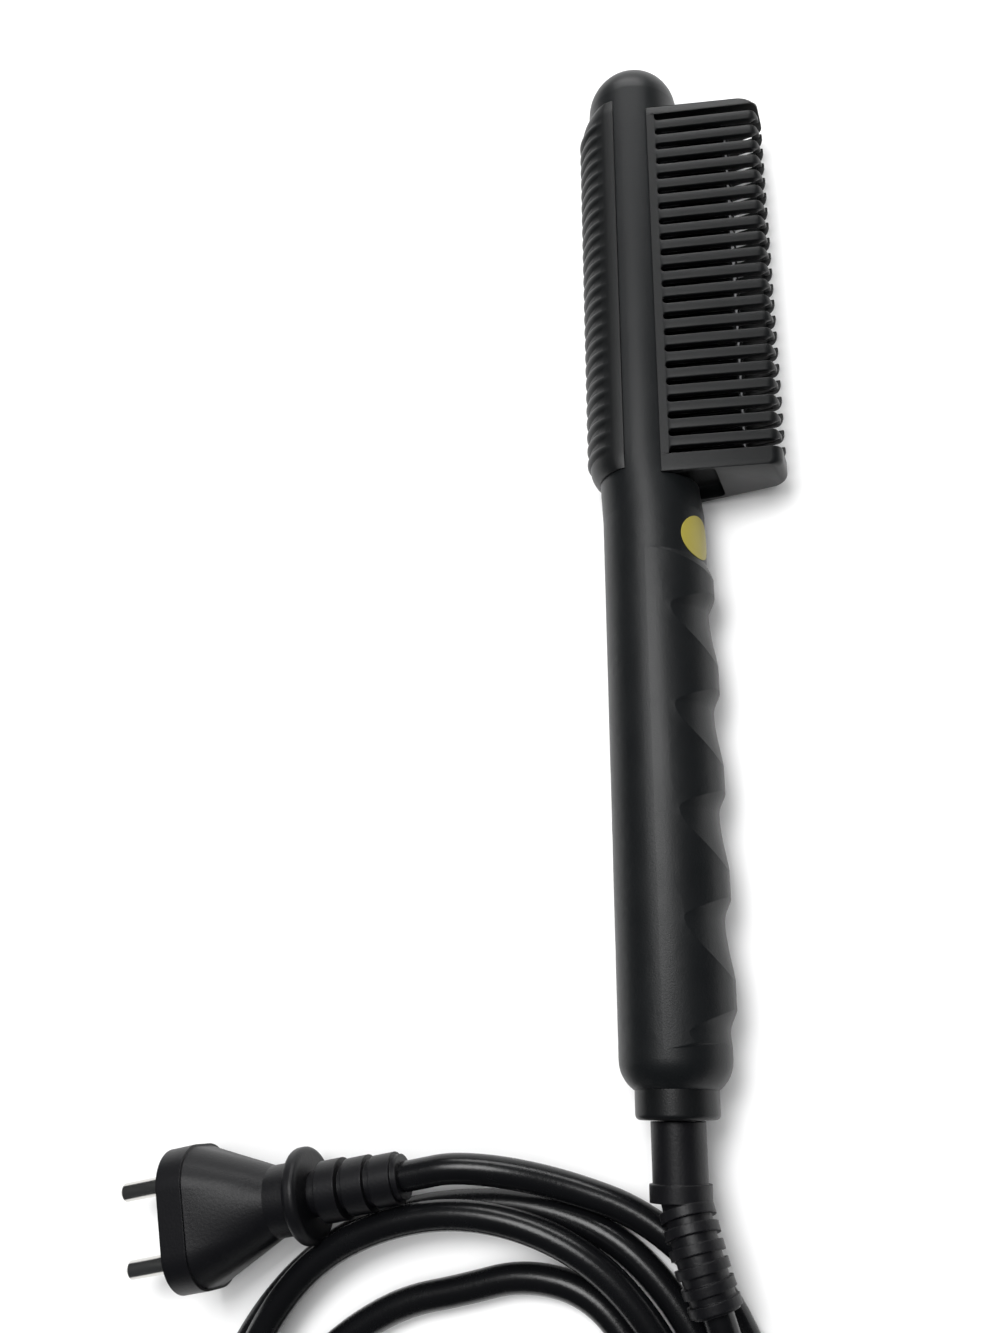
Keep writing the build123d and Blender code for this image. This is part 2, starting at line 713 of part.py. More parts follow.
with BuildPart() as power_button:
    with BuildSketch(upright(button_flange_x)):
        with Locations((power_button_y, 0)):
            Circle(power_button_radius)
    extrude(amount=-grip_half_width)
    add(outer_form.part, mode=Mode.INTERSECT)
    with BuildSketch(upright(button_flange_x)):
        with Locations((power_button_y, 0)):
            Circle(power_button_radius + button_gap + button_flange)
    extrude(amount=button_flange_thickness)
    with BuildSketch(upright(button_flange_x)):
        with Locations((power_button_y, 0)):
            Circle(stem_radius)
    extrude(amount=stem_tip_x - button_flange_x)
save(power_button, "power_button")

with BuildPart() as heat_button:
    with BuildSketch(upright(button_flange_x)):
        with Locations((heat_button_y, 0)):
            SlotOverall(heat_button_length, heat_button_width)
    extrude(amount=-grip_half_width)
    add(outer_form.part, mode=Mode.INTERSECT)
    with BuildSketch(upright(button_flange_x)):
        with Locations((heat_button_y, 0)):
            flange = 2 * (button_gap + button_flange)
            SlotOverall(heat_button_length + flange, heat_button_width + flange)
    extrude(amount=button_flange_thickness)
    with BuildSketch(upright(button_flange_x)):
        with Locations((heat_button_y, 0)):
            Circle(stem_radius)
    extrude(amount=stem_tip_x - button_flange_x)
save(heat_button, "heat_button")

with BuildPart() as level_window:
    with BuildSketch(upright(panel_inner_x)):
        with Locations((level_window_y, 0)):
            SlotOverall(level_window_length, level_window_width)
    extrude(amount=-grip_half_width)
    add(outer_form.part, mode=Mode.INTERSECT)
save(level_window, "level_window")

with BuildPart() as tact_switches:
    with BuildSketch(upright(board_x)):
        with Locations((power_button_y, 0), (heat_button_y, 0)):
            RectangleRounded(6.0, 6.0, 0.5)
    extrude(amount=-switch_height)
    with BuildSketch(upright(board_x - switch_height)):
        with Locations((power_button_y, 0), (heat_button_y, 0)):
            Circle(stem_radius)
    extrude(amount=-plunger_height)
save(tact_switches, "tact_switches")

light_pitch = level_window_length / 3
with BuildPart() as indicator_leds:
    with BuildSketch(upright(board_x)):
        with Locations(*[(level_window_y + i * light_pitch, 0) for i in (-1, 0, 1)]):
            Circle(1.3)
    extrude(amount=-3.2)
    fillet(indicator_leds.edges().group_by(Axis.X)[0], 0.9)
save(indicator_leds, "indicator_leds")

# ---- end collar and swivel ----
inner_flange_radius = 9.4
inner_flange_y = tail_wall + fit_gap
collar_inner_y = inner_flange_y + 1.9
core_top_y = 20.5
core_flange_radius = 6.0
core_flange_thickness = 1.7
core_post_radius = 3.0
core_flange_y = collar_inner_y + axial_gap + core_flange_thickness
relief_top_y = -collar_length - axial_gap
core_low_y = relief_top_y - 9.0
ring_places = [11.0, 15.5]
ring_length = 2.5
ring_radius = 3.8

with BuildPart() as end_collar:
    with BuildSketch(across(collar_seat, grip_x)):
        Circle(collar_radius)
    extrude(amount=collar_seat + collar_length)
    fillet(end_collar.edges().group_by(Axis.Y)[0], 1.2)
    with BuildSketch(across(collar_inner_y, grip_x)):
        Circle(neck_radius)
    extrude(amount=collar_inner_y - collar_seat)
    with BuildSketch(across(collar_inner_y, grip_x)):
        Circle(inner_flange_radius)
    extrude(amount=collar_inner_y - inner_flange_y)
    with BuildSketch(across(collar_inner_y, grip_x)):
        Circle(core_radius + running_clearance)
    extrude(amount=collar_inner_y + collar_length, mode=Mode.SUBTRACT)
save(end_collar, "end_collar")

with BuildPart() as swivel_core:
    with BuildSketch(across(core_flange_y, grip_x)):
        Circle(core_radius)
    extrude(amount=core_flange_y - core_low_y)
    with BuildSketch(across(core_flange_y, grip_x)):
        Circle(core_flange_radius)
    extrude(amount=core_flange_thickness)
    with BuildSketch(across(core_top_y, grip_x)):
        Circle(core_post_radius)
    extrude(amount=core_top_y - core_flange_y)
save(swivel_core, "swivel_core")

with BuildPart() as slip_rings:
    for ring_y in ring_places:
        with BuildSketch(across(ring_y + ring_length, grip_x)):
            Circle(ring_radius)
            Circle(core_post_radius + running_clearance, mode=Mode.SUBTRACT)
        extrude(amount=ring_length)
save(slip_rings, "slip_rings")

brush_x = grip_x + ring_radius + axial_gap
brush_thickness = 0.5
contact_low_y = 9.5
contact_length = 11.0
contact_reach = grip_x + grip_half_width - shell_wall - 0.8
with BuildPart() as brush_contacts:
    with BuildSketch(plan(-1.5)):
        for ring_y in ring_places:
            with Locations((brush_x, ring_y + ring_length / 2)):
                Rectangle(brush_thickness, ring_length, align=(Align.MIN, Align.CENTER))
    extrude(amount=3.0)
save(brush_contacts, "brush_contacts")

with BuildPart() as contact_carrier:
    with BuildSketch(across(contact_low_y + contact_length, brush_x + brush_thickness)):
        Rectangle(
            contact_reach - brush_x - brush_thickness, 7.0, align=(Align.MIN, Align.CENTER)
        )
    extrude(amount=contact_length)
save(contact_carrier, "contact_carrier")


def wires(name, radius, routes, bend):
    """Round wires, each along its own route of tool points, as one piece."""
    with BuildPart() as bundle:
        for route in routes:
            points = [place(*point) for point in route]
            with BuildLine() as line:
                FilletPolyline(*points, radius=bend)
            with BuildSketch(Plane(line.line ^ 0)):
                Circle(radius)
            sweep(path=line.line)
    save(bundle, name)


board_top_x = board_front_x + terminal_height / 2
wires(
    "heater_leads",
    0.8,
    [
        [
            (block_back_x - 1.1, tab_low_y, side * strip_z),
            (block_back_x - 1.1, tab_low_y - 8, side * strip_z),
            (2.2, pocket_low_y + 3, side * 5.5),
            (2.2, carrier_low_y - 0.6, side * 5.5),
            (5.7, 154.5, side * 5.0),
            (5.5, 147.5, side * 4.6),
            (board_top_x, heater_terminal_y + terminal_length + 3.0, side * 3.6),
            (board_top_x, heater_terminal_y + terminal_length, side * 3.6),
        ]
        for side in (-1, 1)
    ],
    2.5,
)
wires(
    "sensor_leads",
    0.45,
    [
        [
            (sensor_x, sensor_y, -fuse_z + shift),
            (sensor_x, sensor_y - 6, -fuse_z + shift),
            (-4.2, pocket_low_y + 8, -5.4 + shift),
            (-5.6, 151.5, -5.2 + shift),
            (board_x + board_thickness / 2, board_high_y + 3, -5.2 + shift),
            (board_x + board_thickness / 2, board_high_y, -5.2 + shift),
        ]
        for shift in (-0.52, 0.52)
    ],
    2.0,
)
wires(
    "supply_leads",
    0.8,
    [
        [
            (brush_x + 1.9, contact_low_y + contact_length, side * 1.9),
            (brush_x + 1.9, 27.0, side * 1.9),
            (7.2, 35.5, side * 2.6),
            (board_top_x, supply_terminal_y - 3.0, side * 3.0),
            (board_top_x, supply_terminal_y, side * 3.0),
        ]
        for side in (-1, 1)
    ],
    2.5,
)

# ---- round sticker on the front of the grip ----
sticker_angle = 20.0
sticker_y = 139.6
with BuildPart() as round_sticker:
    with BuildSketch(across(sticker_y + sticker_diameter)):
        with Locations((grip_x, 0)):
            Ellipse(grip_half_width + sticker_thickness, grip_half_height + sticker_thickness)
            Ellipse(grip_half_width, grip_half_height, mode=Mode.SUBTRACT)
    extrude(amount=2 * sticker_diameter)
    tilt = math.radians(sticker_angle)
    outward = (math.cos(tilt), 0, math.sin(tilt))
    with BuildSketch(Plane(origin=place(grip_x, sticker_y, 0), x_dir=(0, 1, 0), z_dir=outward)):
        Circle(sticker_diameter / 2)
    extrude(amount=2 * grip_half_width, mode=Mode.INTERSECT)
save(round_sticker, "round_sticker")

# ---- strain relief: a smooth barrel and step, then ribs along a gentle arch ----
step_radius = relief_radius + 0.8
step_y = -19.0
step_length = 4.0
relief_core_radius = relief_radius - 1.1
relief_rib_count = 6
relief_points = [(grip_x, step_y, 0.0), (2.5, -23.5, 0.8), (5.6, -34.5, 2.9), (9.0, -45.5, 2.2)]


def bend_radii(points):
    """The largest arcs that the runs of a route leave room for, one for each corner."""
    radii = []
    for before, corner, after in zip(points, points[1:], points[2:]):
        arrive = Vector(*corner) - Vector(*before)
        leave = Vector(*after) - Vector(*corner)
        half_turn = math.radians(arrive.get_angle(leave)) / 2
        radii.append(0.45 * min(arrive.length, leave.length) / math.tan(half_turn))
    return radii


with BuildPart() as strain_relief:
    with BuildSketch(across(relief_top_y, grip_x)):
        Circle(relief_radius)
    extrude(amount=relief_top_y - step_y)
    with BuildSketch(across(step_y, grip_x)):
        Circle(step_radius)
    extrude(amount=step_length)
    with BuildLine() as relief_line:
        route = [place(*point) for point in relief_points]
        FilletPolyline(*route, radius=bend_radii(route))
    with BuildSketch(Plane(relief_line.line ^ 0)):
        Circle(relief_core_radius)
    sweep(path=relief_line.line)
    for i in range(relief_rib_count):
        where = 0.24 + i * 0.7 / (relief_rib_count - 1)
        with BuildSketch(Plane(relief_line.line ^ where)):
            Circle(relief_radius - 0.06 * i)
        extrude(amount=1.1, both=True)
    with BuildSketch(across(relief_top_y, grip_x)):
        Circle(core_radius + running_clearance)
    extrude(amount=relief_top_y - core_low_y + fit_gap, mode=Mode.SUBTRACT)
save(strain_relief, "strain_relief")

# ---- cord: from the strain relief to the coil, the coil, and from the coil to the plug ----
lead_points = [relief_points[-1], (12.4, -56.5, 1.2), (14.4, -71.0, -0.3), (12.2, -88.0, -1.8)]
lying_z = floor + cord_radius
plug_end = (-68.0, -18.7, floor + plug_height / 2)
turn = math.radians(plug_turn)
plug_axis = (math.cos(turn), math.sin(turn), 0)
plug_side = (-math.sin(turn), math.cos(turn), 0)
run_points = [
    (17.5, -104.0, lying_z),
    (20.0, -84.0, lying_z),
    (18.0, -63.0, lying_z),
    (8.0, -41.0, lying_z),
    (-9.0, -26.8, lying_z),
    (-30.0, -19.8, lying_z + 3.6),
    (plug_end[0] - 16 * plug_axis[0], plug_end[1] - 16 * plug_axis[1], plug_end[2]),
    plug_end,
]
coil_middle = (-56.0, -101.5)
coil_height = 4 * cord_radius
coil_chamfer = 4.0


def cord_tube(name, points):
    """A tube of the cord along straight runs and arcs."""
    route = [place(*point) for point in points]
    radii = bend_radii(route)
    with BuildPart() as tube:
        with BuildLine() as line:
            FilletPolyline(*route, radius=radii)
        with BuildSketch(Plane(line.line ^ 0)):
            Circle(cord_radius)
        sweep(path=line.line)
    run = line.wire().length
    print(name, "length", round(run), "radii", [round(r) for r in radii])
    print("volume over section times length", round(tube.part.volume / (math.pi * cord_radius**2 * run), 4))
    save(tube, name)


cord_tube("cord_lead", lead_points)
cord_tube("cord_plug_run", run_points)

with BuildPart() as cord_coil:
    with BuildSketch(plan(floor)):
        with Locations(coil_middle):
            Circle(coil_outer_radius)
            Circle(coil_inner_radius, mode=Mode.SUBTRACT)
    extrude(amount=coil_height)
    chamfer(cord_coil.edges().group_by(Axis.Z)[-1], coil_chamfer)
save(cord_coil, "cord_coil")

# ---- plug: ringed strain relief, grip flange, neck and a flat oval base with two pins ----
plug_start = Vector(*place(*plug_end))
plug_relief_radius = 5.5
plug_ring_radii = [6.3, 6.9, 7.5]
plug_relief_length = 24.5
plug_ring_places = [1.5, 8.7, 15.9]
plug_ring_length = 5.6
flange_thickness = 4.0
plug_neck_radius = 8.8
shoulder_start = 35.0
base_start = 55.0
base_corner = 10.0
insert_radius = 11.0
insert_depth = 8.0


def plug_plane(distance):
    """A plane across the plug that faces its pins, at a distance from the cord's end."""
    origin = plug_start + Vector(*plug_axis) * distance
    return Plane(origin=origin, x_dir=[-value for value in plug_side], z_dir=plug_axis)


with BuildPart() as plug_strain_relief:
    with BuildSketch(plug_plane(0)):
        Circle(plug_relief_radius)
    extrude(amount=plug_relief_length)
    for ring_start, ring_reach in zip(plug_ring_places, plug_ring_radii):
        with BuildSketch(plug_plane(ring_start)):
            Circle(ring_reach)
        extrude(amount=plug_ring_length)
save(plug_strain_relief, "plug_strain_relief")

with BuildPart() as plug_body:
    with BuildSketch(plug_plane(plug_relief_length)):
        Circle(plug_flange_radius)
    extrude(amount=flange_thickness)
    fillet(plug_body.edges(), 1.5)
    with BuildSketch(plug_plane(plug_relief_length + flange_thickness)):
        Circle(plug_neck_radius)
    extrude(amount=shoulder_start - plug_relief_length - flange_thickness)
    with BuildSketch(plug_plane(shoulder_start)):
        Circle(plug_neck_radius)
    with BuildSketch(plug_plane(base_start)):
        RectangleRounded(plug_width - 1.0, plug_height - 1.0, base_corner)
    loft()
    with BuildSketch(plug_plane(base_start)):
        RectangleRounded(plug_width, plug_height, base_corner)
    extrude(amount=plug_length - base_start)
    with BuildSketch(plug_plane(plug_length)):
        SlotOverall(pin_spacing + insert_radius, insert_radius)
    extrude(amount=-insert_depth, mode=Mode.SUBTRACT)
save(plug_body, "plug_body")

with BuildPart() as plug_pin_carrier:
    with BuildSketch(plug_plane(plug_length)):
        SlotOverall(pin_spacing + insert_radius, insert_radius)
        with GridLocations(pin_spacing, 1, 2, 1):
            Circle(pin_shank_radius + running_clearance, mode=Mode.SUBTRACT)
    extrude(amount=-insert_depth)
save(plug_pin_carrier, "plug_pin_carrier")

with BuildPart() as plug_pins:
    with BuildSketch(plug_plane(plug_length - insert_depth)):
        with GridLocations(pin_spacing, 1, 2, 1):
            Circle(pin_shank_radius)
    extrude(amount=insert_depth)
    with BuildSketch(plug_plane(plug_length)):
        with GridLocations(pin_spacing, 1, 2, 1):
            Circle(pin_radius)
    extrude(amount=pin_length + pin_radius / 2)
    tip_edges = plug_pins.edges().group_by(Axis(plug_start, plug_axis))[-1]
    chamfer(tip_edges, pin_radius / 2)
save(plug_pins, "plug_pins")

tip = plug_start + Vector(*plug_axis) * plug_length
side = Vector(*plug_side) * (pin_spacing / 2)
print("pins start at", [tuple(round(v, 3) for v in tip + s * side) for s in (-1, 1)])
print("plug axis", plug_axis)
print("tool origin at", round(axis_x, 3), round(tail_y, 3), round(axis_z, 3))
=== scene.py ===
# %% [markdown]
# # A heated comb, built around its CAD frame
# The CAD model gives every solid its place and its joints. This lesson dresses it: a camera, a cord, new
# meshes for the pieces whose edges and curves carry the look, and a material for every piece. All sizes
# are metres in the CAD frame. Places on the comb are easier to think of in millimetres from its tail, so
# one small helper turns those into metres.

import json
import math

import bmesh
import bpy
import numpy as np
from mathutils import Matrix, Vector


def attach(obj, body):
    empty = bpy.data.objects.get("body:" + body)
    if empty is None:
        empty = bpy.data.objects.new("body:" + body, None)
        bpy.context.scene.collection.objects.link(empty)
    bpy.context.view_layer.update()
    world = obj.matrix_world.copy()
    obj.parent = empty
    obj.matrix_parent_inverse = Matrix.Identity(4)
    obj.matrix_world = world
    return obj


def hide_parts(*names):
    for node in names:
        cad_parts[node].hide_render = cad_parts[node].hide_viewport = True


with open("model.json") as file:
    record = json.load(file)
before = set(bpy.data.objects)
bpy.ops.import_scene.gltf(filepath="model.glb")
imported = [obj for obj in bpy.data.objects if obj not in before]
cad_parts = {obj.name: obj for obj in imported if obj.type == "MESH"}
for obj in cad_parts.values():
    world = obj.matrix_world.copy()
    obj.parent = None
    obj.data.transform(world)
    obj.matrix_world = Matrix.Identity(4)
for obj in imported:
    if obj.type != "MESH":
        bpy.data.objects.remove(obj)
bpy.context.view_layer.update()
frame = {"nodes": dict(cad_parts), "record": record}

# %% [markdown]
# ## Two small helpers
# A comb is measured from its tail, as with a ruler, while the CAD frame has its own zero. One helper turns
# a place on the comb into the frame's metres. Operators act on all that is selected, and loading leaves
# every CAD node selected, so the other helper clears the selection, and each step starts with it.

# %% One helper for places, one for a clean start
tail_x, tail_y, tail_z = -10.6, -144.85, 13.0


def at(x, y, z):
    """A place on the comb: millimetres forward of its axis, from its tail, and above its axis."""
    return Vector((x + tail_x, y + tail_y, z + tail_z)) / 1000


def deselect():
    """Leaves edit mode, if a piece is in it, and selects nothing."""
    if bpy.context.object and bpy.context.object.mode != "OBJECT":
        bpy.ops.object.mode_set(mode="OBJECT")
    bpy.ops.object.select_all(action="DESELECT")


deselect()
print("tail rim at", at(0, 0, 0))

# %% [markdown]
# ## The camera
# The comb is seen from above and a little from its tail, with a normal lens. A camera can be turned by
# hand until it looks right, but here its place and its turn are numbers, so every render is the same.
# Rotation is a vector: its direction is the axis, and its length is the angle.

# %% Camera
bpy.ops.object.camera_add(location=(0.057105, -0.14294, 0.33423))
camera = bpy.context.object
camera.name = "view_camera"
turn = Vector((-0.3092, -0.3283, 0.0531))
camera.matrix_world = Matrix.Translation(camera.location) @ Matrix.Rotation(
    -turn.length, 4, turn.normalized()
)
camera.data.sensor_width = 36
camera.data.lens = 35.37
camera.data.clip_start = 0.01
bpy.context.scene.camera = camera
print("camera looks along", camera.matrix_world.to_3x3() @ Vector((0, 0, -1)))

# %% [markdown]
# ## The cord, from the tail to its coil
# A mains cord is one length of something springy. Here it leaves the tail, crosses over its own turns,
# goes round three times on the table, each turn a little different, and runs out to the plug. A NURBS
# line with order 3 bends evenly between its points, as a cord does, so only the points are chosen. The
# first ones run straight out of the strain relief, sink to the table and swing round into the coil.

# %% From the strain relief to the coil
cord_radius = 3.7
lying = cord_radius - tail_z
lead_in = [
    (9.0, -45.5, 2.2), (12.6, -57.5, 1.2), (13.2, -69.5, 0.0), (8.6, -81.5, -1.0),
    (-0.9, -90.4, -1.7), (-13.0, -94.0, -1.9), (-25.5, -92.6, -3.8), (-37.0, -89.4, -7.3),
    (-48.0, -87.0, lying), (-59.4, -88.0, lying), (-69.6, -94.4, lying), (-77.4, -105.5, lying),
    (-79.9, -119.5, lying), (-75.6, -133.1, lying), (-65.9, -143.6, lying), (-53.5, -149.2, lying),
]
print("points up to the coil", len(lead_in))

# %% [markdown]
# ## The loose turns
# A cord that is laid down in rings keeps them nearly round, each a little off the last. A loop makes them: a
# radius for each angle, read from a short list, and a low hump where one turn lies on the next. A few
# numbers are easier to adjust than the place of every point.

# %% Three turns, a radius for each angle
ring_x, ring_y = -56, -101
turn_angles = [285, 300, 360, 390, 410, 420, 435, 450, 480, 540, 600, 640, 660, 720, 750, 770, 780, 795,
               810, 840, 870, 900, 960, 1000, 1020, 1080, 1110, 1130, 1140, 1155, 1170, 1200, 1230, 1260,
               1320, 1360, 1380, 1410]
turn_radii = [49.5, 50, 54, 59, 64, 66, 62.5, 56, 54, 54.5, 55.5, 56, 57.5, 61, 66, 71.3, 73.5, 74.4,
              74.4, 72.5, 66.5, 62, 63, 63.3, 64.5, 68, 73.5, 78.8, 80, 78.3, 76, 74.3, 71.5, 69.5,
              70, 70.3, 70.8, 72]
hump_angles = [740, 770, 785, 800, 830, 850, 870, 895]
hump_heights = [0, 4.2, 6.4, 7.3, 7.3, 6.4, 4.6, 0]
turns = []
for angle in range(turn_angles[0], turn_angles[-1] + 1, 15):
    radius = np.interp(angle, turn_angles, turn_radii)
    lift = np.interp(angle, hump_angles, hump_heights)
    around = math.radians(angle)
    turns.append((ring_x + radius * math.cos(around), ring_y + radius * math.sin(around), lying + lift))
print("points of the turns", len(turns))

# %% [markdown]
# ## Out to the plug
# The plug is thicker than the cord and holds the cord's end up, so the last stretch rises from the table.
# Its last points lie on the plug's own axis, and the cord enters the plug straight.

# %% From the coil to the plug
plug_end = Vector((-68.0, -18.7, 0.05))
plug_axis = Vector((-0.98261, -0.18567, 0.0))
lead_out = [
    (17.5, -104.0, lying), (20.0, -84.0, lying), (18.0, -63.0, lying), (8.0, -41.0, lying),
    (-9.0, -26.8, lying), (-27.0, -20.6, lying + 2.6), (-42.0, -17.2, lying + 7.2),
    tuple(plug_end - 13 * plug_axis), tuple(plug_end - 5 * plug_axis), tuple(plug_end),
]
cord_points = [at(*point) for point in lead_in + turns + lead_out]
print("cord points", len(cord_points))

# %% [markdown]
# ## The cord's line
# The jacket is extruded over the wires, so the cord is equally thick all along. A curve with a round bevel
# is just that: move a point and the cord follows. The bevel's depth is 1 and each point's radius is the
# cord's own, so that the size of the curve is measured rightly. It ends in the plug, which turns with it.

# %% A curve through the points, with the cord's thickness
cord_line = bpy.data.curves.new("supply_cord", "CURVE")
cord_line.dimensions = "3D"
spline = cord_line.splines.new("NURBS")
spline.points.add(len(cord_points) - 1)
for knot, place in zip(spline.points, cord_points):
    knot.co = (*place, 1)
    knot.radius = cord_radius / 1000
spline.order_u = 3
spline.use_endpoint_u = True
cord_line.resolution_u = 8
cord_line.bevel_depth = 1
cord_line.bevel_resolution = 6
cord_line.use_fill_caps = True
supply_cord = bpy.data.objects.new("supply_cord", cord_line)
bpy.context.collection.objects.link(supply_cord)
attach(supply_cord, "cord")
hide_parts("cord_lead", "cord_coil", "cord_plug_run")
length = sum((b - a).length for a, b in zip(cord_points, cord_points[1:]))
print("runs of the cord added up", round(length, 3))

at(9.0, -45.5, 2.2)

# %% [markdown]
# ## Building finishes from nodes
# Every finish here is a small graph: patterns that depend on place feed the colour, the roughness and the
# bump of one Principled shader. Sums written as sums are easier to read than a list of links, so one small
# class stands for a value on its way through the graph, and its operators add Math nodes.


# %% A value in a node graph
class Value:
    """One number in a material's graph. Sums and products of values add Math nodes."""

    def __init__(self, finish, socket):
        self.finish, self.socket = finish, socket

    def maths(self, operation, first, second):
        return self.finish.node("ShaderNodeMath", 0, {"operation": operation}, {0: first, 1: second})

    def __add__(self, other):
        return self.maths("ADD", self, other)

    def __radd__(self, other):
        return self.maths("ADD", other, self)

    def __mul__(self, other):
        return self.maths("MULTIPLY", self, other)

    def __rmul__(self, other):
        return self.maths("MULTIPLY", other, self)


print("sums and products of values become Math nodes")

# %% [markdown]
# ## One way to add a node
# In the shader editor a node is added, set up and wired. Finish.node() does the same in that order, for any
# node: its type, the output that is wanted, its settings, and a number or a wire for each socket. The other
# methods are the few combinations that every finish on the comb needs.


# %% A finish
class Finish:
    """A material under construction: node() adds a node, its settings first and then its sockets."""

    def __init__(self, name, colour, roughness, metallic=0.0, **constants):
        self.material = bpy.data.materials.new(name)
        self.material.use_nodes = True
        self.tree = self.material.node_tree
        self.shader = self.tree.nodes["Principled BSDF"]
        self.shader.inputs["Base Color"].default_value = (*colour, 1)
        self.shader.inputs["Roughness"].default_value = roughness
        self.shader.inputs["Metallic"].default_value = metallic
        for socket, amount in constants.items():
            self.shader.inputs[socket.replace("_", " ").title().replace("Ior", "IOR")].default_value = amount
        self.material.diffuse_color = (*colour, 1)

    def node(self, kind, output, settings=(), sockets=()):
        node = self.tree.nodes.new(kind)
        for setting, choice in dict(settings).items():
            setattr(node, setting, choice)
        for name, term in dict(sockets).items():
            slot = node.inputs[name]
            if isinstance(term, Value):
                self.tree.links.new(term.socket, slot)
            else:
                slot.default_value = term
        return Value(self, node.outputs[output])

    def place(self):
        return self.node("ShaderNodeTexCoord", "Object")

    def noise(self, scale, detail=2.0, place=None):
        return self.node("ShaderNodeTexNoise", "Fac",
                         sockets={"Vector": place or self.place(), "Scale": scale, "Detail": detail})

    def feed(self, socket, value):
        self.tree.links.new(value.socket, self.shader.inputs[socket])

    def tint(self, share, dark, light):
        """The base colour runs from dark to light as share runs from 0 to 1."""
        mix = self.node("ShaderNodeMix", 2, {"data_type": "RGBA"},
                        {"Factor": share, 6: (*dark, 1), 7: (*light, 1)})
        self.feed("Base Color", mix)

    def relief(self, height, depth, edge=0.0):
        """Bump of that depth in metres, over edges that are softened by a radius."""
        sockets = {"Strength": 1.0, "Distance": depth, "Height": height}
        if edge:
            sockets["Normal"] = self.node("ShaderNodeBevel", "Normal", {"samples": 6}, {"Radius": edge})
        self.feed("Normal", self.node("ShaderNodeBump", "Normal", sockets=sockets))


print("a finish can place, tint and emboss")

# %% [markdown]
# ## Moulded plastic
# A mould's wall is spark-eroded, and leaves its fine even grain on the plastic. The colour is a little
# cloudy too, and the gloss isn't the same everywhere. One coarse noise and one fine noise do all of this,
# so a plastic needs only two colours, its gloss and the size and depth of its grain.


# %% Moulded plastic
def moulded(name, dark, light, gloss, grain=2600.0, depth=0.00003, edge=0.0, mirror=0.35):
    """Moulded plastic: a fine spark grain, a little uneven gloss and cloudy colour."""
    finish = Finish(name, light, gloss, specular_ior_level=mirror)
    cloud = finish.noise(90.0, 3.0)
    finish.tint(cloud, dark, light)
    grains = finish.noise(grain, 2.0)
    finish.feed("Roughness", gloss - 0.05 + 0.06 * cloud + 0.05 * grains)
    finish.relief(grains, depth, edge)
    return finish.material


print("moulded plastic ready")

# %% [markdown]
# ## The finishes
# The comb is nearly all one black plastic, so the differences are small and matter: the shells are satin,
# the guard is a little deeper and has a heat-proof filler, the cord is glossier, and the plug is soft.
# Metals get fine streaks along their length. Depths are real: a spark grain is some hundredths of a
# millimetre deep.

# %% Plastics and rubbers
finishes = {
    "shell_plastic": moulded("shell_plastic", (0.0030, 0.0036, 0.0042), (0.0048, 0.0056, 0.0062), 0.42,
                             edge=0.0003),
    "guard_plastic": moulded("guard_plastic", (0.0024, 0.0028, 0.0031), (0.0042, 0.0047, 0.0050), 0.42,
                             edge=0.0003),
    "collar_plastic": moulded("collar_plastic", (0.0024, 0.0027, 0.0031), (0.0040, 0.0044, 0.0048), 0.38,
                              edge=0.0003),
    "button_plastic": moulded("button_plastic", (0.014, 0.015, 0.016), (0.02, 0.021, 0.022), 0.33,
                              edge=0.0003),
    "carrier_plastic": moulded("carrier_plastic", (0.26, 0.22, 0.16), (0.34, 0.29, 0.22), 0.6),
    "cord_jacket": moulded("cord_jacket", (0.0024, 0.0025, 0.0030), (0.0040, 0.0042, 0.0048), 0.26, 900.0,
                           0.00003),
    "plug_rubber": moulded("plug_rubber", (0.0020, 0.0020, 0.0028), (0.0036, 0.0036, 0.0046), 0.45, 1500.0,
                           0.00004, edge=0.0004),
    "block_plastic": moulded("block_plastic", (0.02, 0.03, 0.06), (0.03, 0.045, 0.08), 0.4),
    "chip_plastic": moulded("chip_plastic", (0.012, 0.012, 0.013), (0.02, 0.02, 0.02), 0.5),
    "terminal_plastic": moulded("terminal_plastic", (0.03, 0.16, 0.07), (0.04, 0.2, 0.09), 0.45),
    "lead_red": moulded("lead_red", (0.36, 0.02, 0.015), (0.45, 0.03, 0.02), 0.4),
    "lead_white": moulded("lead_white", (0.62, 0.61, 0.57), (0.72, 0.71, 0.67), 0.42),
    "heater_stone": moulded("heater_stone", (0.10, 0.09, 0.085), (0.17, 0.155, 0.145), 0.75, 1800.0),
    "mica_sheet": moulded("mica_sheet", (0.30, 0.22, 0.13), (0.45, 0.35, 0.22), 0.35, 400.0),
    "board_laminate": moulded("board_laminate", (0.015, 0.09, 0.045), (0.02, 0.12, 0.06), 0.35, 900.0),
    "sensor_bead": moulded("sensor_bead", (0.30, 0.09, 0.02), (0.38, 0.12, 0.03), 0.25),
    "led_lens": moulded("led_lens", (0.55, 0.30, 0.05), (0.65, 0.38, 0.08), 0.2),
    "sticker_film": moulded("sticker_film", (0.26, 0.22, 0.035), (0.32, 0.27, 0.05), 0.40, 500.0, 0.00001),
}
print("plastics", len(finishes))

# %% [markdown]
# ## Metals
# The hot bar, contacts, screws, slip rings and plug pins are drawn, rolled or turned, and that leaves fine
# lines. A noise that is stretched along the comb gives such lines, and one function makes every metal of
# the comb. The window over the lights is smoked plastic with a few smudges.


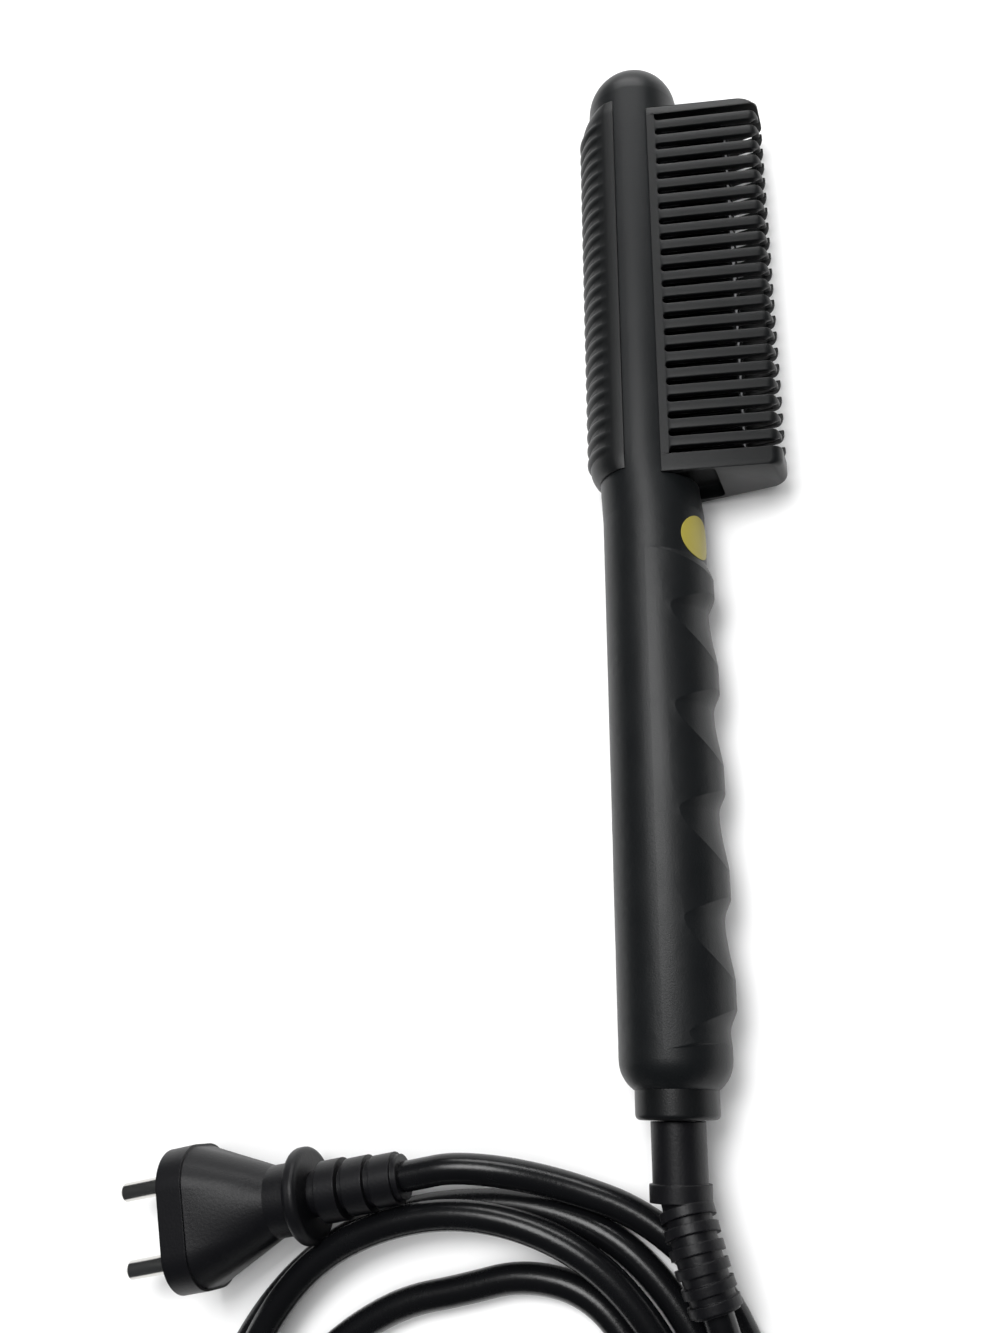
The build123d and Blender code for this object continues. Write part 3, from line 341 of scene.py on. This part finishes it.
# %% Metals and the window
def drawn_metal(name, colour, gloss, streak=(900.0, 60.0, 900.0), edge=0.0002):
    """Metal with fine streaks along the comb, from drawing or milling."""
    finish = Finish(name, colour, gloss, metallic=1.0)
    stretched = finish.node("ShaderNodeMapping", "Vector",
                            sockets={"Vector": finish.place(), "Scale": streak})
    streaks = finish.noise(1.0, 3.0, stretched)
    finish.tint(streaks, [0.8 * part for part in colour], colour)
    finish.feed("Roughness", gloss - 0.07 + 0.14 * streaks)
    finish.relief(streaks, 0.00001, edge)
    return finish.material


finishes["bar_metal"] = drawn_metal("bar_metal", (0.09, 0.092, 0.095), 0.14, edge=0.0006)
finishes["contact_metal"] = drawn_metal("contact_metal", (0.62, 0.60, 0.56), 0.3)
finishes["screw_steel"] = drawn_metal("screw_steel", (0.45, 0.45, 0.46), 0.32)
finishes["ring_brass"] = drawn_metal("ring_brass", (0.68, 0.50, 0.22), 0.25)
finishes["pin_metal"] = drawn_metal("pin_metal", (0.70, 0.69, 0.66), 0.2, (60.0, 900.0, 900.0))
window = Finish("window_plastic", (0.03, 0.032, 0.035), 0.12, coat_weight=0.4)
smudge = window.noise(220.0)
window.feed("Roughness", 0.08 + 0.12 * smudge)
window.relief(smudge, 0.000004, 0.0002)
finishes["window_plastic"] = window.material
print("finishes", len(finishes))

# %% [markdown]
# ## Dressing the CAD pieces
# The record of the part names a finish for each node, so one loop dresses all of them, those inside the
# shells too. Most pieces of the comb are plain mouldings and keep their CAD mesh. A bevel in the finish
# softens their edges, as a mould does, without touching the mesh.

# %% Every CAD piece gets the finish of its slot
for subpart in frame["record"]["subparts"]:
    piece = frame["nodes"][subpart["node"]]
    piece.data.materials.clear()
    piece.data.materials.append(finishes[subpart["material_slot"]])

# %% [markdown]
# ## Working in edit mode from a script
# By hand, one clicks the faces to work on. A script picks them by their place or the way that they face.
# Every new piece ends in the same way: its place goes into its mesh, its object stays at the origin, and
# it gets its name and its finish.


# %% Helpers to pick and to settle
def pick(kind, test):
    """In edit mode, selects the vertices, edges or faces whose middle and normal pass the test."""
    bpy.ops.mesh.select_mode(type=kind)
    mesh = bpy.context.object.data
    form = bmesh.from_edit_mesh(mesh)
    elements = {"VERT": form.verts, "EDGE": form.edges, "FACE": form.faces}[kind]
    for element in (*form.verts, *elements):
        element.select_set(False)
    count = 0
    for element in elements:
        if kind == "VERT":
            middle = element.co
        else:
            middle = sum((v.co for v in element.verts), Vector()) / len(element.verts)
        if test(middle, element):
            element.select_set(True)
            count += 1
    form.select_flush_mode()
    bmesh.update_edit_mesh(mesh)
    return count


def settle(name, finish):
    """Leaves edit mode, puts the place into the mesh, names the piece and gives it its finish."""
    bpy.ops.object.mode_set(mode="OBJECT")
    bpy.ops.object.transform_apply(location=True, rotation=True, scale=True)
    piece = bpy.context.object
    piece.name = name
    piece.data.materials.clear()
    piece.data.materials.append(finishes[finish])
    return piece


print("kinds to pick: VERT, EDGE, FACE")

# %% [markdown]
# ## Copies, modifiers and cuts
# Bars and ribs are made once and copied, each copy with its own mesh. A modifier is applied as soon as it is
# added, so the next step works on real faces. A cut or a join uses up the second solid, which is removed.


# %% Helpers for copies, modifiers and cuts
def choose(piece, *others):
    """Selects these pieces and nothing else. The first is the active one."""
    deselect()
    for one in (piece, *others):
        one.select_set(True)
    bpy.context.view_layer.objects.active = piece


def edit(piece):
    choose(piece)
    bpy.ops.object.mode_set(mode="EDIT")


def copy_along(piece, shift):
    """A copy with its own mesh, moved along the comb by so many metres."""
    choose(piece)
    bpy.ops.object.duplicate(linked=False)
    bpy.ops.transform.translate(value=(0, shift, 0))
    return bpy.context.object


def apply_modifier(piece, kind, **settings):
    choose(piece)
    modifier = piece.modifiers.new(kind.title(), kind)
    for setting, choice in settings.items():
        setattr(modifier, setting, choice)
    bpy.ops.object.modifier_apply(modifier=modifier.name)


def combine(piece, tool, operation):
    apply_modifier(piece, "BOOLEAN", operation=operation, object=tool, solver="EXACT")
    bpy.data.objects.remove(tool, do_unlink=True)


supply_cord.data.materials.append(finishes["cord_jacket"])
print("the cord wears", supply_cord.data.materials[0].name)

# %% [markdown]
# ## The comb guard
# Two rows of flat bars stand out from the head, lean towards each other and curl inwards at their tips, so
# hair is guided past the hot bar and skin is kept off it. It is one moulding with slots. One bar is made
# as a bent strip that starts wide, narrows round the end of a slot, runs out and curls over. Twenty copies
# side by side join into a sheet, which gets its wall, its rounded rims and its mirror image. So every bar
# is the same, and the rims catch light as moulded edges do.

# %% One bar, as a strip
pitch, slot_width, bar_count = 5.089, 2.06, 21
root_x, slot_root_x, root_height = 6.5, 8.8, 12.0
guard_reach, guard_wall = 37.4, 2.2
bar_half = (pitch - slot_width) / 2
curl_x, curl_z, curl_radius, curl_degrees, curl_steps = 34.2, 4.0, 3.2, 80.26, 8
slope = math.tan(0.16996)
tangent_x = 34.741
first_slot_y, last_slot_y = 269.7, 162.83
first_bar_y = first_slot_y - pitch / 2


def step(dx, dz, half_from, half_to):
    """Extrudes the bar's front edge by a step and changes its width."""
    bpy.ops.mesh.extrude_region_move(TRANSFORM_OT_translate={"value": (dx / 1000, 0, dz / 1000)})
    bpy.ops.transform.resize(value=(1, half_to / half_from, 1), center_override=at(0, first_bar_y, 0))


deselect()
root_middle = at((root_x + slot_root_x) / 2, first_bar_y, root_height)
bpy.ops.mesh.primitive_plane_add(size=0.001, location=root_middle)
bpy.ops.object.transform_apply(location=True)
bpy.ops.object.mode_set(mode="EDIT")
bpy.ops.transform.resize(value=(slot_root_x - root_x, pitch, 1), center_override=root_middle)
pick("EDGE", lambda middle, edge: middle.x > at(slot_root_x - 0.1, 0, 0).x)
bpy.ops.transform.translate(value=(0, 0, -(slot_root_x - root_x) * slope / 1000))
corner = slot_width / 2
half, x = pitch / 2, slot_root_x
for turn_degrees in (20, 40, 60, 78, 90):
    turned = math.radians(turn_degrees)
    new_half = pitch / 2 - corner * math.sin(turned)
    new_x = slot_root_x + corner * (1 - math.cos(turned))
    step(new_x - x, -(new_x - x) * slope, half, new_half)
    half, x = new_half, new_x
step(tangent_x - x, -(tangent_x - x) * slope, half, half)
print("bar width", round(2 * half, 2), "mm, slot", slot_width, "mm")

# %% [markdown]
# ## The curled tip
# The strip's front edge is still selected. Spin carries it round the curl's centre, as sheet metal is bent
# round a bar. Seen from above the tip is round, so each row of points beyond the round's middle is narrowed
# to the width of a circle there, though never under half, which leaves room for the wall's thickness.

# %% Curl the bar over and round its tip
bpy.ops.mesh.spin(steps=curl_steps, angle=math.radians(-curl_degrees),
                  center=at(curl_x, first_bar_y, curl_z), axis=(0, 1, 0))
bpy.ops.mesh.extrude_region_move(TRANSFORM_OT_translate={"value": (0, 0, -0.0006)})
tip_x = curl_x + curl_radius - bar_half
for row_degrees in [curl_degrees * (curl_steps - i) / curl_steps for i in range(curl_steps + 1)]:
    turned = math.radians(row_degrees)
    row = at(curl_x + curl_radius * math.cos(turned), first_bar_y, curl_z + curl_radius * math.sin(turned))
    past = (row.x - at(tip_x, 0, 0).x) * 1000
    if past > 0:
        share = max(math.sqrt(max(1 - (past / bar_half) ** 2, 0)), 0.5)
        low = row.z - (0.0007 if row_degrees < 1 else 0.00002)
        pick("VERT", lambda co, v: abs(co.x - row.x) < 2e-5 and low < co.z < row.z + 2e-5)
        bpy.ops.transform.resize(value=(1, share, 1), center_override=row)
bar = settle("bar_strip", "guard_plastic")
print("bar faces", len(bar.data.polygons), "reach",
      round(max(v.co.x for v in bar.data.vertices) * 1000 - tail_x, 2))

# %% [markdown]
# ## One row of bars
# On the real guard all bars of a row are one moulding. Copies of the bar at the pitch of the slots meet at
# their roots, and merging the doubled points there makes them one sheet. Solidify gives the sheet its wall,
# and a small bevel rounds the rims of the slots, as a mould leaves them.

# %% Copies side by side make a slotted sheet, then a wall with soft rims
choose(bar, *[copy_along(bar, -i * pitch / 1000) for i in range(1, bar_count)])
bpy.ops.object.join()
bpy.ops.object.transform_apply(location=True)
edit(bar)
bpy.ops.mesh.select_all(action="SELECT")
bpy.ops.mesh.remove_doubles(threshold=0.00001)
high_y, low_y = at(0, first_slot_y, 0).y, at(0, last_slot_y, 0).y
border_width = 0.00115
for border, way in ((high_y, 1), (low_y, -1)):
    pick("EDGE", lambda middle, edge: abs(middle.y - border) < 2e-5)
    bpy.ops.mesh.extrude_region_move(TRANSFORM_OT_translate={"value": (0, way * border_width, 0)})
bpy.ops.object.mode_set(mode="OBJECT")
apply_modifier(bar, "SOLIDIFY", thickness=guard_wall / 1000, offset=-1, use_even_offset=True)
edit(bar)
rims = pick("EDGE", lambda middle, edge: len(edge.link_faces) == 2 and edge.calc_face_angle() > 0.9
            and middle.x > at(8.0, 0, 0).x and middle.z > at(0, 0, 3.6).z)
bpy.ops.mesh.bevel(offset=0.0005, segments=3, affect="EDGES", clamp_overlap=True)
bpy.ops.object.mode_set(mode="OBJECT")
upper_row = bar
print("rim edges", rims, "faces", len(upper_row.data.polygons))

# %% [markdown]
# ## The other row
# The two rows lean towards each other and are alike, so the second is a mirrored copy. Scaling by minus one
# turns a mesh inside out, and its normals are recalculated after it.

# %% The lower row is the upper one, mirrored
lower_row = copy_along(upper_row, 0.0)
edit(lower_row)
bpy.ops.mesh.select_all(action="SELECT")
bpy.ops.transform.resize(value=(1, 1, -1), center_override=at(0, 0, 0))
bpy.ops.mesh.normals_make_consistent(inside=False)
bpy.ops.object.mode_set(mode="OBJECT")
print("lower row faces", len(lower_row.data.polygons))

# %% [markdown]
# ## The end walls
# A wall at each end ties the two rows together and keeps fingers off the bar. Seen from above, its front
# corner is round. A cube is narrowed towards the front, bevelled there, and extruded in small steps that
# draw back along a quarter circle.


# %% End walls close the guard at both ends
front_height = 6.697


def end_wall(inner_y, outer_y, corner):
    """A plate across the guard whose front corner is rounded in plan, towards outer_y."""
    way = 1 if outer_y > inner_y else -1
    straight_y = outer_y - way * corner
    flat = max(abs(straight_y - inner_y), 0.3)
    middle = at((root_x + guard_reach) / 2, inner_y + way * flat / 2, 0)
    deselect()
    bpy.ops.mesh.primitive_cube_add(size=0.001, location=middle)
    bpy.ops.object.transform_apply(location=True)
    bpy.ops.object.mode_set(mode="EDIT")
    bpy.ops.transform.resize(value=(guard_reach - root_x, flat, 2 * root_height), center_override=middle)
    pick("FACE", lambda m, face: face.normal.x > 0.9)
    bpy.ops.transform.resize(value=(1, 1, front_height / root_height), center_override=middle)
    pick("EDGE", lambda m, edge: m.x > at(37, 0, 0).x and abs(m.y - middle.y) < 1e-5)
    bpy.ops.mesh.bevel(offset=0.0027, segments=8, affect="EDGES")
    y, back = inner_y + way * flat, 0.0
    for degrees in (15, 30, 45, 60, 75, 90):
        turned = math.radians(degrees)
        new_y = straight_y + way * corner * math.sin(turned)
        new_back = corner * (1 - math.cos(turned))
        if way * (new_y - y) < 0.1:
            continue
        pick("FACE", lambda m, face: face.normal.y * way > 0.9)
        bpy.ops.mesh.extrude_region_move(TRANSFORM_OT_translate={"value": (0, (new_y - y) / 1000, 0)})
        edge_y = at(0, new_y, 0).y
        pick("VERT", lambda co, v: abs(co.y - edge_y) < 1e-5 and co.x > at(30, 0, 0).x)
        bpy.ops.transform.translate(value=(-(new_back - back) / 1000, 0, 0))
        y, back = new_y, new_back
    pick("EDGE", lambda m, edge: abs(m.y - at(0, outer_y, 0).y) < 1e-5 and edge.calc_face_angle() > 0.2)
    bpy.ops.mesh.bevel(offset=0.0004, segments=2, affect="EDGES")
    bpy.ops.mesh.select_all(action="SELECT")
    bpy.ops.mesh.normals_make_consistent(inside=False)
    return settle("end_wall", "guard_plastic")


top_wall = end_wall(first_slot_y + slot_width / 2, 273.5, 3.5)
low_wall_y = 156.7
low_wall = end_wall(last_slot_y - slot_width / 2, low_wall_y, 2.0)
print("end wall faces", len(top_wall.data.polygons), len(low_wall.data.polygons))

# %% [markdown]
# ## The pocket, and the guard as one piece
# Thick plastic sinks as it cools, so a moulder hollows it from outside. The wall towards the grip has such
# a pocket: a rounded block, taken away from it with a boolean. Then the rows and walls join into one guard.

# %% Cut the pocket and join the guard
pocket_middle = at(13.6, low_wall_y, 0.4)
deselect()
bpy.ops.mesh.primitive_cube_add(size=0.001, location=pocket_middle)
pocket = bpy.context.object
bpy.ops.object.mode_set(mode="EDIT")
bpy.ops.transform.resize(value=(13.0, 7.4, 18.0), center_override=pocket_middle)
bpy.ops.mesh.bevel(offset=0.0018, segments=4, affect="EDGES")
bpy.ops.object.mode_set(mode="OBJECT")
bpy.ops.object.transform_apply(location=True)
combine(low_wall, pocket, "DIFFERENCE")
print("low wall faces", len(low_wall.data.polygons))
choose(upper_row, lower_row, top_wall, low_wall)
bpy.ops.object.join()
bpy.ops.object.shade_smooth_by_angle(angle=0.6)
toothed_guard = settle("toothed_guard", "guard_plastic")
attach(toothed_guard, "tool")
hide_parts("comb_guard")
corners = [Vector(c) for c in toothed_guard.bound_box]
print("guard from", [round(v * 1000, 2) for v in corners[0]],
      "to", [round(v * 1000, 2) for v in corners[6]])

# %% [markdown]
# ## The rear guard
# The back of the head wears a second guard with soft round ribs, so it can rest against the scalp. Its
# back is part of a cylinder that stands a little behind the head. Each rib is a ring round that cylinder's
# axis, and the floor between ribs is a cylinder round another axis, so the ribs are tallest at the back
# and sink in towards the edges. One rib's length is made, and the rest are copies of it. A torus joined to
# the cylinder gives a true round rib, where a bevelled groove would leave spikes.

# %% A full ring with one rib
rib_pitch, rib_count = 4.2, 26
back_x, back_radius, rear_face_x, seat_radius = -3.2, 13.0, -3.1, 11.5
floor_x, floor_radius = -1.92, 13.35
rear_middle_y = 218.5
first_rib_y = rear_middle_y + (rib_count - 1) / 2 * rib_pitch


def cylinder(x, y, radius, depth, facets=96):
    deselect()
    bpy.ops.mesh.primitive_cylinder_add(vertices=facets, radius=radius / 1000, depth=depth / 1000,
                                        location=at(x, y, 0), rotation=(math.pi / 2, 0, 0))
    bpy.ops.object.transform_apply(location=True, rotation=True)
    return bpy.context.object


rib = cylinder(back_x, first_rib_y, back_radius, rib_pitch, 128)
combine(rib, cylinder(floor_x, first_rib_y, floor_radius, 2 * rib_pitch, 128), "INTERSECT")
rib_round = 1.5
deselect()
bpy.ops.mesh.primitive_torus_add(major_radius=(back_radius - rib_round - 0.02) / 1000, major_segments=128,
                                 minor_radius=rib_round / 1000, minor_segments=24,
                                 location=at(back_x, first_rib_y, 0), rotation=(math.pi / 2, 0, 0))
bpy.ops.object.transform_apply(location=True, rotation=True)
bpy.ops.object.mode_set(mode="EDIT")
bpy.ops.transform.resize(value=(1, 1.26, 1), center_override=at(back_x, first_rib_y, 0))
bpy.ops.object.mode_set(mode="OBJECT")
combine(rib, bpy.context.object, "UNION")
print("faces of a full ring", len(rib.data.polygons))

# %% [markdown]
# ## Only the back of the ring
# The guard wraps only the back of the head. Bisect cuts away what stands in front of its face, a cylinder
# takes out the seat where it sits on the shells, and the flat caps go, so that copies join without walls
# between them.

# %% Cut the ring down to one length of the guard
edit(rib)
bpy.ops.mesh.select_all(action="SELECT")
bpy.ops.mesh.bisect(plane_co=at(rear_face_x, 0, 0), plane_no=(1, 0, 0), clear_outer=True, use_fill=True)
bpy.ops.object.mode_set(mode="OBJECT")
combine(rib, cylinder(0, first_rib_y, seat_radius, 3 * rib_pitch), "DIFFERENCE")
edit(rib)
rib_y = at(0, first_rib_y, 0).y
caps = pick("FACE", lambda m, face: abs(face.normal.y) > 0.9
            and abs(abs(m.y - rib_y) - rib_pitch / 2000) < 1e-5)
bpy.ops.mesh.delete(type="FACE")
bpy.ops.object.mode_set(mode="OBJECT")
print("caps taken off", caps, "faces of one rib", len(rib.data.polygons))

# %% [markdown]
# ## The ribs in a row, and the ends
# The caps of the one length are gone, so its copies meet edge to edge and merge into one skin. At each end
# the open edge is extruded in short steps that shrink towards the axis, and a last face closes it.

# %% All its ribs, and its tapered ends
choose(rib, *[copy_along(rib, -i * rib_pitch / 1000) for i in range(1, rib_count)])
bpy.ops.object.join()
bpy.ops.object.transform_apply(location=True)
edit(rib)
bpy.ops.mesh.select_all(action="SELECT")
bpy.ops.mesh.remove_doubles(threshold=0.000005)
taper = [(1.2, 0.985, 1), (1.2, 0.95, 0.99), (1.1, 0.9, 0.98), (0.8, 0.84, 0.975), (0.6, 0.78, 0.97)]
for end_y, way in ((first_rib_y + rib_pitch / 2, 1), (first_rib_y - (rib_count - 0.5) * rib_pitch, -1)):
    pick("EDGE", lambda m, e: len(e.link_faces) == 1 and abs(m.y - at(0, end_y, 0).y) < 2e-5)
    middle = at(back_x, end_y, 0)
    before = (1, 1)
    for run, across, up in taper:
        bpy.ops.mesh.extrude_region_move(TRANSFORM_OT_translate={"value": (0, way * run / 1000, 0)})
        bpy.ops.transform.resize(value=(across / before[0], 1, up / before[1]), center_override=middle)
        before = (across, up)
    bpy.ops.mesh.edge_face_add()
bpy.ops.mesh.select_all(action="SELECT")
bpy.ops.mesh.normals_make_consistent(inside=False)
bpy.ops.object.mode_set(mode="OBJECT")
choose(rib)
bpy.ops.object.shade_smooth_by_angle(angle=0.7)
ribbed_guard = settle("ribbed_guard", "guard_plastic")
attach(ribbed_guard, "tool")
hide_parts("rear_guard")

# %% [markdown]
# ## The table
# The comb lies on a pale matt table top. It is one wide plane with a faint mottle in its colour.

# %% Table
deselect()
bpy.ops.mesh.primitive_plane_add(size=6, location=(0, 0, 0))
table = bpy.context.object
table.name = "table"
table_white = Finish("table_white", (0.86, 0.86, 0.86), 0.8)
mottle = table_white.noise(14.0)
table_white.tint(mottle, (0.85, 0.85, 0.85), (0.88, 0.88, 0.88))
table.data.materials.append(table_white.material)
print("table", [round(v, 2) for v in table.dimensions])

# %% [markdown]
# ## The lamps and the room
# A broad soft lamp above the comb, a little beyond it, draws the long soft band along the grip: a lamp's size
# over its distance sets how wide that band is. A large one lights the table evenly and isn't seen in gloss,
# so the black stays deep. A low one beyond the dome catches the rims. The room itself is nearly dark.


# %% Lamps and room
def lamp(name, place, aim, width, depth, power, in_gloss=True):
    bpy.ops.object.light_add(type="AREA", location=place)
    light = bpy.context.object
    light.name = name
    light.data.shape = "RECTANGLE"
    light.data.size, light.data.size_y = width, depth
    light.data.energy = power
    light.rotation_euler = (Vector(aim) - Vector(place)).to_track_quat("-Z", "Y").to_euler()
    light.visible_glossy = in_gloss


lamp("broad_lamp", (-0.10, 0.20, 1.0), (0, 0, 0), 0.46, 0.42, 7.0)
lamp("even_lamp", (0.0, -0.1, 2.0), (0, 0, 0), 3.0, 3.0, 52.0, in_gloss=False)
lamp("edge_lamp", (0.05, 1.1, 0.55), (0, 0.05, 0), 0.9, 0.3, 7.0)
room = bpy.data.worlds.new("room")
bpy.context.scene.world = room
room.use_nodes = True
room.node_tree.nodes["Background"].inputs["Color"].default_value = (0.9, 0.95, 1.0, 1)
room.node_tree.nodes["Background"].inputs["Strength"].default_value = 0.05

# %% [markdown]
# ## The colour view
# The Standard view shows a colour about as it is written.

# %% The colour view
bpy.context.scene.view_settings.view_transform = "Standard"
